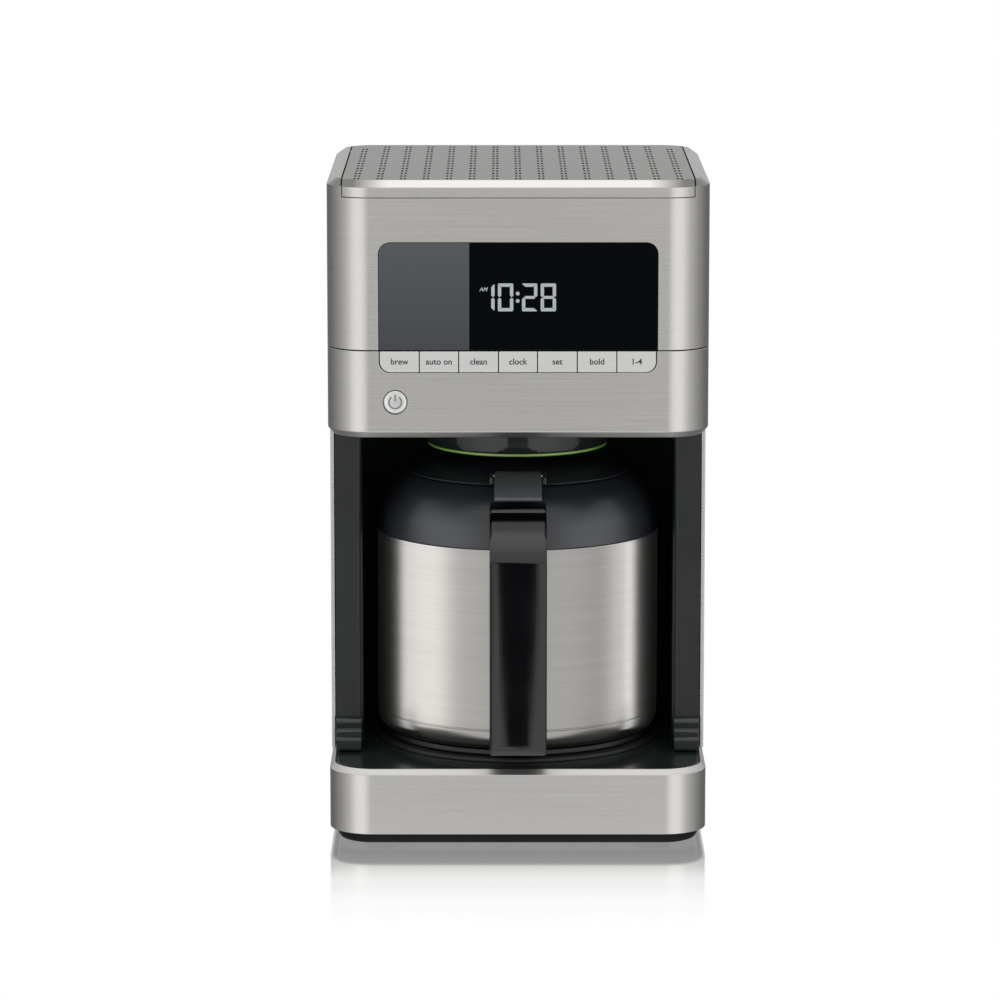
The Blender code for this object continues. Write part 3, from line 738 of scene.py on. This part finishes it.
def make_upper_housing():
    shell = [
        (0, SEAM_Z + GAP),
        (0, TOP_BEVEL_Z),
        (TOP_BEVEL, TOP_Z),
        (8.5, TOP_Z),
        (8.5, 347.5),
        (SHEET, 347.5),
        (SHEET, SEAM_Z + GAP),
    ]
    low = (WINDOW_LEFT - GAP, 250)
    high = (WINDOW_RIGHT + GAP, WINDOW_TOP + GAP)
    window = rounded_rectangle(low, high, (WINDOW_RADIUS + GAP, WINDOW_RADIUS + GAP, 0, 0), 10)
    cuts = [
        prism(lid_plan(LID_GAP, FRONT_Y + TOP_BEVEL + 1), LID_SKIRT_Z - GAP, TOP_Z + 10),
        prism(lid_plan(LID_FRONT_GAP), LID_SKIRT_Z - GAP, TOP_Z + 10),
        prism(window, FRONT_Y - 5, FRONT_Y + 8, "Y"),
        pin_bore(-1),
        pin_bore(1),
    ]
    mesh = finished(body_sweep(shell, ring=True), cuts=cuts, edge=EDGE_RADIUS)
    piece = add("upper_housing_skin", mesh, "machine", "steel", "brushed_steel", "upper_housing")
    # The chamfer gets the steel with a painted reflection along the front and painted shade at the corners.
    repaint(piece, "painted_sheen_edge_steel", on_slope)


def vent_mesh():
    """Cutter made of one small oblong post for each vent in the lid."""
    builder = bmesh.new()
    first = -VENT_PITCH_X * (VENT_ROWS - 1) / 2
    start = FRONT_Y + TOP_BEVEL + 6.5
    for row in range(VENT_ROWS):
        for side in (-1, 1):
            for number in range(VENT_COUNT):
                x = first + row * VENT_PITCH_X + side * VENT_SPREAD
                y = start + number * VENT_PITCH_Y
                if abs(x) > 80 and y > 88:
                    continue
                add_post(builder, x, y)
    return mesh_of(builder)


def add_post(builder, x, y):
    ends = VENT_HALF_LENGTH - VENT_HALF_WIDTH
    outline = arc((x, y + ends), VENT_HALF_WIDTH, 0, 180, 4)
    outline += arc((x, y - ends), VENT_HALF_WIDTH, 180, 360, 4)
    extrude(builder, [(a, b, TOP_Z - VENT_DEPTH) for a, b in outline], (0, 0, 2 * VENT_DEPTH))


def in_vent(normal, centre):
    """Whether a face of the lid is the floor or a wall of a vent."""
    across = abs(centre.x) < LID_HALF_WIDTH - 2
    along = FRONT_Y + TOP_BEVEL + 1 < centre.y < LID_BACK_Y - 2
    return across and along and TOP_Z - VENT_DEPTH - 0.1 < centre.z < TOP_Z - 0.1


def make_lid():
    hollow_x = LID_HALF_WIDTH - LID_TOP_THICKNESS
    low = (-hollow_x, FRONT_Y + 3)
    hollow = rounded_rectangle(low, (hollow_x, LID_HOLLOW_BACK_Y), (5, 5, 19.5, 19.5), 12)
    block = body_sweep([(0, LID_SKIRT_Z), (0, TOP_BEVEL_Z), (TOP_BEVEL, TOP_Z)])
    shaped = finished(
        block,
        common=[prism(lid_plan(0), LID_SKIRT_Z - 10, TOP_Z + 10)],
        cuts=[prism(hollow, 330, TOP_Z - LID_TOP_THICKNESS), pin_bore(-1), pin_bore(1)],
        edge=EDGE_RADIUS,
    )
    mesh = finished(shaped, cuts=[vent_mesh()])
    piece = add("lid_skin", mesh, "top_lid", "lid_steel", "brushed_steel", "lid")
    repaint(piece, "steel", lambda normal, centre: normal.z < 0.9 and centre.y < FRONT_Y + TOP_BEVEL)
    # The chamfer gets the steel with a painted reflection along the front and painted shade at the corners.
    repaint(piece, "painted_sheen_edge_steel", on_slope)
    repaint(piece, "vent", in_vent)


# ---------------------------------------------------------------- display, keys and button


def digit_shapes(left, lit):
    """Outlines of the lit segments of one digit. Segments are a to g, clockwise from the top."""
    right = left + DIGIT_WIDTH
    middle = (DIGIT_BOTTOM + DIGIT_TOP) / 2
    t = DIGIT_STROKE
    g = DIGIT_GAP
    top = [
        (left + g + 0.3, DIGIT_TOP),
        (right - g - 0.3, DIGIT_TOP),
        (right - g, DIGIT_TOP - 0.3),
        (right - t - g, DIGIT_TOP - t),
        (left + t + g, DIGIT_TOP - t),
        (left + g, DIGIT_TOP - 0.3),
    ]
    upper_left = [
        (left, DIGIT_TOP - g - 0.5),
        (left + 0.3, DIGIT_TOP - g - 0.35),
        (left + t, DIGIT_TOP - t - g),
        (left + t, middle + t / 2 + g),
        (left + t / 2, middle + g),
        (left, middle + t / 2),
    ]
    bar = [
        (left + t / 2 + g, middle),
        (left + t, middle + t / 2 - g),
        (right - t, middle + t / 2 - g),
        (right - t / 2 - g, middle),
        (right - t, middle - t / 2 + g),
        (left + t, middle - t / 2 + g),
    ]
    upper_right = [(left + right - x, z) for x, z in upper_left]
    places = {
        "a": top,
        "b": upper_right,
        "c": turned_over(upper_right, middle),
        "d": turned_over(top, middle),
        "e": turned_over(upper_left, middle),
        "f": upper_left,
        "g": bar,
    }
    return [places[letter] for letter in lit]


def turned_over(shape, middle):
    return [(x, 2 * middle - z) for x, z in shape]


def plates(shapes, back, front):
    """Thin raised plates on the front, one for each outline in XZ."""
    builder = bmesh.new()
    for shape in shapes:
        extrude(builder, [(x, back, z) for x, z in shape], (0, front - back, 0))
    return mesh_of(builder)


def lettering(name, words, size, x, z, front, body, look, slot, slant=0.0):
    """Generic printed words, centred at x, z on the front."""
    text = bpy.data.curves.new(name, "FONT")
    text.body = words
    text.size = size * MM
    text.shear = slant
    text.align_x = "CENTER"
    text.align_y = "CENTER"
    text.extrude = 0.02 * MM
    text.offset = 0.016 * size * MM
    mesh = baked(placed("work", text))
    mesh.transform(Matrix.Translation(Vector((x, front, z)) * MM) @ Matrix.Rotation(pi / 2, 4, "X"))
    return add(name, mesh, body, look, slot)


def make_display():
    low = (WINDOW_LEFT, SEAM_Z + 0.2)
    outline = rounded_rectangle(low, (WINDOW_RIGHT, WINDOW_TOP), (WINDOW_RADIUS, WINDOW_RADIUS, 0, 0), 10)
    face = FRONT_Y + 0.2
    mesh = finished(prism(outline, face, FRONT_Y + 2.4, "Y"), edge=0.25)
    add("window_skin", mesh, "machine", "window", "window_black", "display_window")
    shapes = [arc((-0.3, z), 1.0, 0, 345, 23) for z in COLON_HEIGHTS]
    for left, lit in ((-20.3, "bc"), (-10.6, "abcdef"), (1.9, "abged"), (11.6, "abcdefg")):
        shapes += digit_shapes(left, lit)
    mesh = plates(shapes, face - 0.01, face - 0.05)
    add("clock_digits", mesh, "machine", "light", "window_black")
    front = face - 0.03
    lettering("clock_half_day", "AM", 2.8, -18.2, 298.7, front, "machine", "light", "window_black", 0.25)


def key_mesh(number):
    left = KEY_EDGES[number] + KEY_CLEARANCE
    right = KEY_EDGES[number + 1] - KEY_CLEARANCE
    corner_left = KEY_RADIUS if number == 0 else 0
    corner_right = KEY_RADIUS if number == len(KEY_BODIES) - 1 else 0
    radii = (0, 0, corner_left, corner_right)
    outline = rounded_rectangle((left, KEY_BOTTOM), (right, KEY_TOP), radii, 10)
    middle = (left + right) / 2
    centre = (KEY_BOTTOM + KEY_TOP) / 2
    stem = box((middle - 1.5, -87.6, centre - 1.5), (middle + 1.5, -81.6, centre + 1.5))
    return finished(prism(outline, FRONT_Y, FRONT_Y + 2.5, "Y"), joins=[stem], edge=0.25)


def make_keys():
    z = (KEY_BOTTOM + KEY_TOP) / 2
    front = FRONT_Y - 0.02
    for number, (body, word) in enumerate(zip(KEY_BODIES, KEY_WORDS)):
        add(f"{body}_cap", key_mesh(number), body, "key", "steel_key", body)
        middle = (KEY_EDGES[number] + KEY_EDGES[number + 1]) / 2
        lettering(f"{body}_word", word, KEY_LETTERS, middle, z, front, body, "print", "matte_black")


def make_power_button():
    """Domed cap with a rim, and the usual on sign on it. The profile's heights are to the front."""
    profile = [(0, -3.6), (7.6, -3.6), (7.6, -2.6), (6.1, -2.6), (6.1, -0.6), (6.0, -0.25)]
    profile += [(5.7, 0.05), (5.2, 0.22), (4.4, 0.36), (2.5, 0.5), (0, 0.55)]
    mesh = turned(profile, (0.0, 0.0), 64)
    mesh.transform(Matrix.Rotation(pi / 2, 4, "X"))
    mesh.transform(Matrix.Translation(Vector((BUTTON_X, FRONT_Y, BUTTON_Z)) * MM))
    add("power_cap", finished(mesh), "power_button", "button", "polished_steel", "power_button")
    centre = (BUTTON_X, BUTTON_Z)
    ring = arc(centre, 3.7, 125, 415, 30) + arc(centre, 2.9, 415, 125, 30)
    low = (BUTTON_X - 0.4, BUTTON_Z + 0.6)
    bar = rounded_rectangle(low, (BUTTON_X + 0.4, BUTTON_Z + 4.1), (0.3,) * 4, 4)
    mesh = plates([ring, bar], FRONT_Y - 0.2, FRONT_Y - 0.62)
    add("power_sign", mesh, "power_button", "sign", "polished_steel")


# ---------------------------------------------------------------- brewing parts and carafe


def make_basket():
    profile = [
        (8, 202.9),
        (46.4, 202.9),
        (46.4, 205.1),
        (48.8, 205.1),
        (49.4, 205.6),
        (50.4, 209),
        (52, 218),
        (56.3, 226),
        (62, 322),
        (66.5, 322),
        (66.5, 324.5),
        (60.2, 324.5),
        (54.5, 226.5),
        (50.3, 219),
        (48.3, 211),
        (44, 206.5),
        (8, 205.4),
    ]
    add("basket_skin", finished(turned(profile)), "machine", "gloss", "gloss_black", "filter_basket")
    ring = [(46.7, 203.4), (48.0, 203.4), (48.3, 203.6), (48.4, 204.1)]
    ring += [(48.3, 204.6), (48.0, 204.8), (46.7, 204.8)]
    add("basket_ring_skin", finished(turned(ring)), "machine", "green", "ring_green", "basket_ring")


def make_carafe():
    foot = [(58, 45.6), (70.6, 45.6), (71.5, 45.9), (72, 46.6), (71.8, 47.8), (71.2, 48.6), (58, 48.6)]
    add("carafe_foot_skin", finished(turned(foot)), "carafe", "matte", "matte_black", "carafe_base")
    shell = [(0, 49.0), (69.4, 49.0), (71.6, 49.6), (73.6, 51.0), (75.0, 53.0), (75.8, 55.6), (76, 58.4)]
    shell += [(76, 59.6), (75.6, 59.9), (75.6, 60.4), (76, 60.7), (76, 157.0), (75.7, 157.5), (75, 157.5)]
    shell += [(75, 57.5), (72.5, 52), (69, 50), (0, 50)]
    nodes = ("carafe_shell", "carafe_shell_floor")
    add("carafe_body_skin", finished(turned(shell)), "carafe", "carafe_steel", "brushed_steel", *nodes)
    slope = [(76, 158.4), (75.3, 168.5), (72.0, 177.0), (67.6, 183.6), (61.6, 188.2)]
    collar = [(75.7, 157.8), (76, 158.3), *rounded_path(slope, 6, 8), (60.6, 188.9), (58.6, 189.3)]
    collar += [(55, 189.3), (55, 181), (61.8, 175), (69, 167), (73, 157.8)]
    mesh = finished(turned(collar))
    add("carafe_collar_skin", mesh, "carafe", "shoulder", "shoulder_black", "carafe_collar")


def make_carafe_lid():
    dome = [(60.4, 191.0), (55, 192.6), (47, 195.2), (37, 196.9), (24, 197.4), (10, 196.8)]
    profile = [(9, 182), (49, 182), (49, 189.8), (60.8, 189.8), (61.3, 190.1), (61.0, 190.7)]
    profile += rounded_path(dome, 6, 6)
    profile += [(9.2, 196.5), (9, 196.0)]
    ear_side = [(-57, 190.5), (-46, 192), (-46, 195.4), (-49, 196.2), (-54.5, 196.2), (-57, 194)]
    ears = [finished(prism(ear_side, side * 12.9, side * 15, "X"), edge=0.5) for side in (-1, 1)]
    mesh = finished(turned(profile), joins=ears)
    add("carafe_lid_skin", mesh, "carafe_lid", "shoulder", "shoulder_black", "carafe_lid")


def make_thumb_lever():
    lever_side = [(-48, 193.9), (-52, 192.7), (-62, 190.6), (-78, 186.2), (-81, 185.4), (-81.6, 187.2)]
    lever_side += [(-79, 188.6), (-62, 194.4), (-54, 196.2), (-49, 196.4)]
    mesh = finished(prism(lever_side, -12.5, 12.5, "X"), edge=0.7, angle=30)
    add("lever_skin", mesh, "thumb_lever", "lever", "lever_grey", "thumb_lever")


def make_handle():
    """Side view cut to a plan whose front is slightly convex, and shaped to the carafe behind."""
    bend = [(-58, 182.2), (-82, 182.2), (-91, 179.4), (-106, 167.5), (-110, 157)]
    foot = [(-110, 150), (-110, 75), (-110, 54.2), (-95, 54.2), (-66, 54)]
    inside = [(-66, 62), (-84, 62), (-98.5, 62.5), (-98.5, 75), (-98.5, 150)]
    inside += [(-98.5, 168), (-88, 170.8), (-72, 172), (-58, 172)]
    side_view = rounded_path(bend + foot, 14, 10) + rounded_path(inside, 8, 8)
    front = arc((0, HANDLE_FRONT_RADIUS + HANDLE_FRONT_Y), HANDLE_FRONT_RADIUS, 264.6, 275.4, 16)
    plan = prism([*front, (HANDLE_HALF_WIDTH + 1, -50), (-HANDLE_HALF_WIDTH - 1, -50)], 50, 190)
    clearance = [(0, 40), (70.3, 40), (70.3, 49.0), (73.8, 51), (75.9, 54.5), (76.3, 57.5), (76.3, 157.8)]
    clearance += [(75.7, 167), (73.2, 175), (68.7, 183), (62.3, 188.4), (0, 188.4)]
    block = prism(side_view, -HANDLE_HALF_WIDTH, HANDLE_HALF_WIDTH, "X")
    block = finished(block, common=[plan], edge=1.6, segments=5, angle=50, clamp=False)
    screw_hole = rod("Z", (0, -84), 3.4, 50, 56.4)
    mesh = finished(block, cuts=[turned(clearance), screw_hole], angle=40)
    add("handle_skin", mesh, "carafe", "handle", "gloss_black", "handle")


def dress_nodes():
    """Gives the CAD nodes that stay their materials."""
    feet = ("foot_front_left", "foot_front_right", "foot_rear_left", "foot_rear_right")
    switches = ("display_module", "key_guide", "power_switch")
    looks = {
        "rubber": (*feet, "cord_gland"),
        "matte": (*switches, "housing_floor", "shower_head", "valve_cage"),
        "gloss": ("drip_valve",),
        "silicone": ("riser_tube", "inlet_hose", "lid_seal"),
        "board": ("control_board", "power_board"),
        "cast": ("boiler",),
        "white": ("thermostat",),
        "tank": ("water_tank",),
        "chrome": ("hinge_pin_left", "hinge_pin_right", "valve_spring", "handle_screw", "lever_pin"),
        "inner_steel": ("carafe_liner_wall", "carafe_liner_floor", "carafe_liner_neck"),
    }
    for look, names in looks.items():
        for name in names:
            mesh = FRAME["nodes"][name].data
            mesh.materials.clear()
            mesh.materials.append(LOOKS[look])


# ---------------------------------------------------------------- studio


def make_camera():
    camera = placed("camera", bpy.data.cameras.new("camera"))
    camera.location = (-0.0095, -2.516, 0.6048)
    camera.rotation_euler = (radians(80.25), 0, 0)
    camera.data.lens = 169.5
    camera.data.sensor_width = 36
    bpy.context.scene.camera = camera


def upright_light(name, place, width, height, radiance, receivers):
    """Upright rectangle of light that faces the brewing column and lights only the receivers."""
    light = bpy.data.lights.new(name, "AREA")
    light.shape = "RECTANGLE"
    light.size = width
    light.size_y = height
    light.energy = radiance * pi * width * height
    holder = placed(name, light)
    holder.location = place
    holder.rotation_euler = Vector((-place.x, -place.y, 0.0)).to_track_quat("-Z", "Y").to_euler()
    holder.visible_camera = False
    group = bpy.data.collections.new(f"{name}_receivers")
    for piece in receivers:
        group.objects.link(piece)
    holder.light_linking.receiver_collection = group


def panel_light(name, azimuth, width, radiance, receivers):
    """Wide soft panel in the room. Azimuth 0 is straight in front, + to the right."""
    way = Vector((sin(radians(azimuth)), -cos(radians(azimuth)), 0.0))
    size = 2 * PANEL_DISTANCE * tan(radians(width / 2))
    upright_light(name, way * PANEL_DISTANCE, size, PANEL_HEIGHT, radiance, receivers)


def niche_strip(name, side, radiance, receivers):
    """Narrow strip between a pillar and the carafe, which lights the far edge of the carafe."""
    middle = (TOWER_BOTTOM + TOWER_TOP) / 2
    place = Vector((side * STRIP_X, STRIP_Y, middle)) * MM
    upright_light(name, place, STRIP_WIDTH * MM, (TOWER_TOP - TOWER_BOTTOM) * MM, radiance, receivers)


def make_floor():
    """White floor that only the camera sees, with a reflection that fades away from the machine."""
    builder = bmesh.new()
    bmesh.ops.create_grid(builder, x_segments=1, y_segments=1, size=FLOOR_HALF_WIDTH)
    floor = placed("floor", mesh_of(builder, "floor"))
    floor.visible_glossy = False
    floor.visible_diffuse = False
    floor.visible_transmission = False
    floor.visible_shadow = False
    floor.data.materials.append(floor_look())


def floor_look():
    material = bpy.data.materials.new("floor_white")
    material.use_nodes = True
    nodes = Nodes(material.node_tree)
    nodes.tree.nodes.clear()
    place = nodes.coordinates()
    sides = []
    for axis, middle in (("X", 0.0), ("Y", (FRONT_Y + BACK_Y) / 2 * MM)):
        away = nodes.math("ABSOLUTE", nodes.math("SUBTRACT", place[axis], middle))
        sides.append(nodes.math("MAXIMUM", nodes.math("SUBTRACT", away, HALF_WIDTH * MM), 0.0))
    squares = nodes.math("ADD", nodes.math("POWER", sides[0], 2.0), nodes.math("POWER", sides[1], 2.0))
    share = nodes.ramp(nodes.math("SQRT", squares), REFLECTION_FADE)
    white = nodes.node("ShaderNodeEmission", Color=(1, 1, 1, 1), Strength=1.0)
    gloss = nodes.node("ShaderNodeBsdfGlossy", Color=(1, 1, 1, 1), Roughness=0.1)
    both = nodes.mix_shaders(share, white, gloss)
    nodes.node("ShaderNodeOutputMaterial", Surface=both.outputs[0])
    return material


def make_world():
    """White to the camera. The object sees soft greys round the horizon, and a lighter ceiling."""
    world = bpy.data.worlds.new("studio")
    bpy.context.scene.world = world
    world.use_nodes = True
    nodes = Nodes(world.node_tree)
    nodes.tree.nodes.clear()
    way = nodes.coordinates("Generated")
    aside = nodes.math("ABSOLUTE", way["X"])
    ahead = nodes.math("MULTIPLY", way["Y"], -1.0)
    azimuth = nodes.math("DEGREES", nodes.math("ARCTAN2", aside, ahead))
    round_room = nodes.math("DIVIDE", azimuth, 180.0)
    ring = nodes.math("MULTIPLY", nodes.ramp(round_room, RING_BRIGHTNESS), 2.0)
    across = nodes.math("POWER", nodes.math("DIVIDE", azimuth, DARK_SPOT_WIDTH), 2.0)
    rise = nodes.math("DIVIDE", nodes.math("SUBTRACT", way["Z"], DARK_SPOT_Z), DARK_SPOT_HEIGHT)
    from_spot = nodes.math("ADD", across, nodes.math("POWER", rise, 2.0))
    ring = nodes.math("MULTIPLY", ring, nodes.ramp(from_spot, ((0.6, 0.04), (1.0, 1.0))))
    ceiling = nodes.math("MULTIPLY", nodes.ramp(way["Z"], CEILING_BRIGHTNESS), 2.0)
    above = nodes.ramp(nodes.math("ADD", way["Z"], 0.5), ((0.48, 0.0), (0.56, 1.0)))
    seen = nodes.node("ShaderNodeBackground", Color=(1, 1, 1, 1), Strength=1.0)
    lower = nodes.node("ShaderNodeBackground", Color=(1, 1, 1, 1), Strength=ring)
    upper = nodes.node("ShaderNodeBackground", Color=(1, 1, 1, 1), Strength=ceiling)
    room = nodes.mix_shaders(above, lower, upper)
    to_camera = nodes.node("ShaderNodeLightPath").outputs["Is Camera Ray"]
    nodes.node("ShaderNodeOutputWorld", Surface=nodes.mix_shaders(to_camera, room, seen).outputs[0])


def pieces_with(*looks):
    """The objects that have any of these looks."""
    wanted = {LOOKS[look] for look in looks}
    pieces = bpy.context.scene.objects
    return [piece for piece in pieces if wanted & set(getattr(piece.data, "materials", ()))]


def make_studio():
    bpy.context.scene.view_settings.view_transform = "Standard"
    make_floor()
    make_world()
    body = pieces_with("steel", "key", "button", "chrome")
    carafe = pieces_with("carafe_steel")
    shoulder = pieces_with("shoulder")
    panel_light("body_left", -33, 34, 0.55, body)
    panel_light("body_right", 33, 34, 0.55, body)
    panel_light("carafe_left", -80, 44, 1.7, carafe)
    panel_light("carafe_right", 92, 24, 1.3, carafe)
    niche_strip("niche_left", -1, 1.5, carafe)
    niche_strip("niche_right", 1, 2.1, carafe)
    panel_light("shoulder_left", -60, 50, 1.2, shoulder)
    panel_light("shoulder_right", 60, 50, 1.2, shoulder)


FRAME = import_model()
make_camera()
LOOKS = metal_looks() | black_looks() | other_looks()
make_base()
make_tower()
make_pillars()
make_lower_housing()
make_upper_housing()
make_lid()
make_display()
make_keys()
make_power_button()
make_basket()
make_carafe()
make_carafe_lid()
make_thumb_lever()
make_handle()
dress_nodes()
make_studio()
